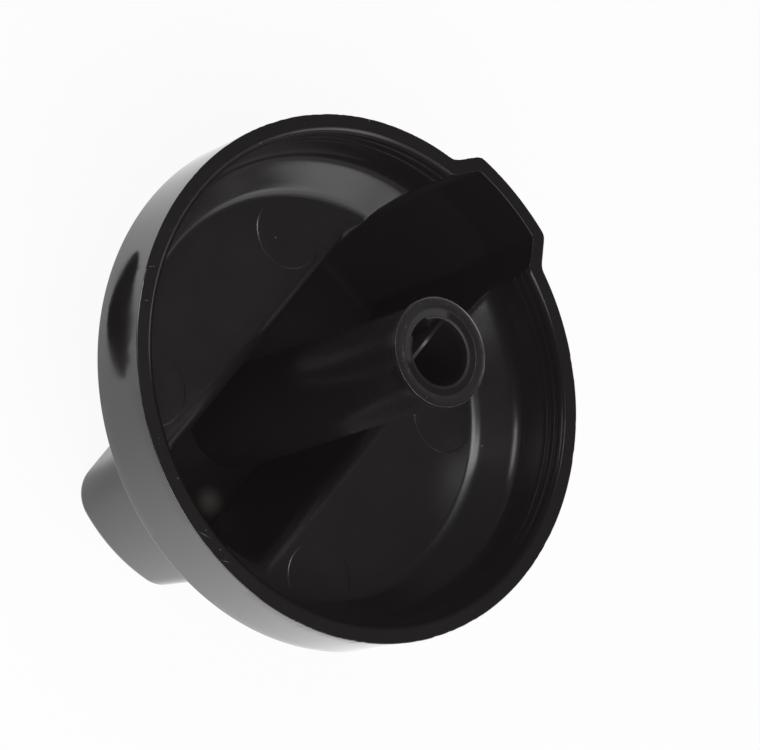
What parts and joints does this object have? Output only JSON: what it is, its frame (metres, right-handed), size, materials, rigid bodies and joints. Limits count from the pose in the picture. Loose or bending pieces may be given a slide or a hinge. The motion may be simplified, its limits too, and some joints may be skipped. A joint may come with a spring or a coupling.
{
  "type": "stove knob",
  "caption": "Round push-on control knob moulded in one piece: hollow cap, grip bar across its front, pointer nose on the rim and a long hub tube with a D-shaped shaft bore.",
  "frame": {"origin": "on the shaft axis, in the plane of the cap's rim, which is the knob's open back", "axes": "+Z along the shaft axis, out of the bore and away from the grip; +Y towards the pointer nose; +X completes the frame, so that the bore's flat is on the -X side"},
  "size_m": [0.052, 0.0544, 0.0385],
  "materials": {
    "black_plastic": "moulded gloss black, with fine scratches, dust and a matter rim"
  },
  "bodies": {
    "root": {"knob_body": "black_plastic"}
  },
  "joints": []
}
